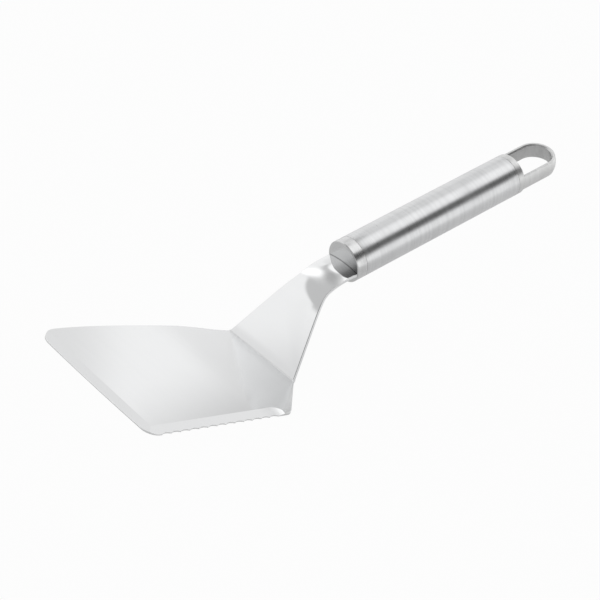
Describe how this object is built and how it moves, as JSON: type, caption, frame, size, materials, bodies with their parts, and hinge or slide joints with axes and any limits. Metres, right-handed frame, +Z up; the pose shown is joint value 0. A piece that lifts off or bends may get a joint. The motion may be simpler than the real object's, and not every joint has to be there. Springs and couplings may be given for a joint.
{
  "type": "serving spatula",
  "caption": "Stainless serving spatula: flat blade with a serrated side, folded neck rising to a hollow round handle that ends in a hanging loop.",
  "frame": {"origin": "middle of the spatula's box, on the surface that the blade lies on", "axes": "+X from the blade to the handle, +Z up from the blade, serrated edge on the -Y side"},
  "size_m": [0.2538, 0.082, 0.1],
  "materials": {
    "polished_blade": "mirror polished, with ground edges",
    "bright_ferrule": "fine turned, bright",
    "brushed_tube": "satin, brushed round the tube",
    "satin_cap": "satin",
    "cast_filling": "cast resin, hidden"
  },
  "bodies": {
    "root": {"blade": "polished_blade", "front_ferrule": "bright_ferrule", "handle_tube": "brushed_tube", "end_cap": "satin_cap", "tang_cement": "cast_filling"}
  },
  "joints": []
}
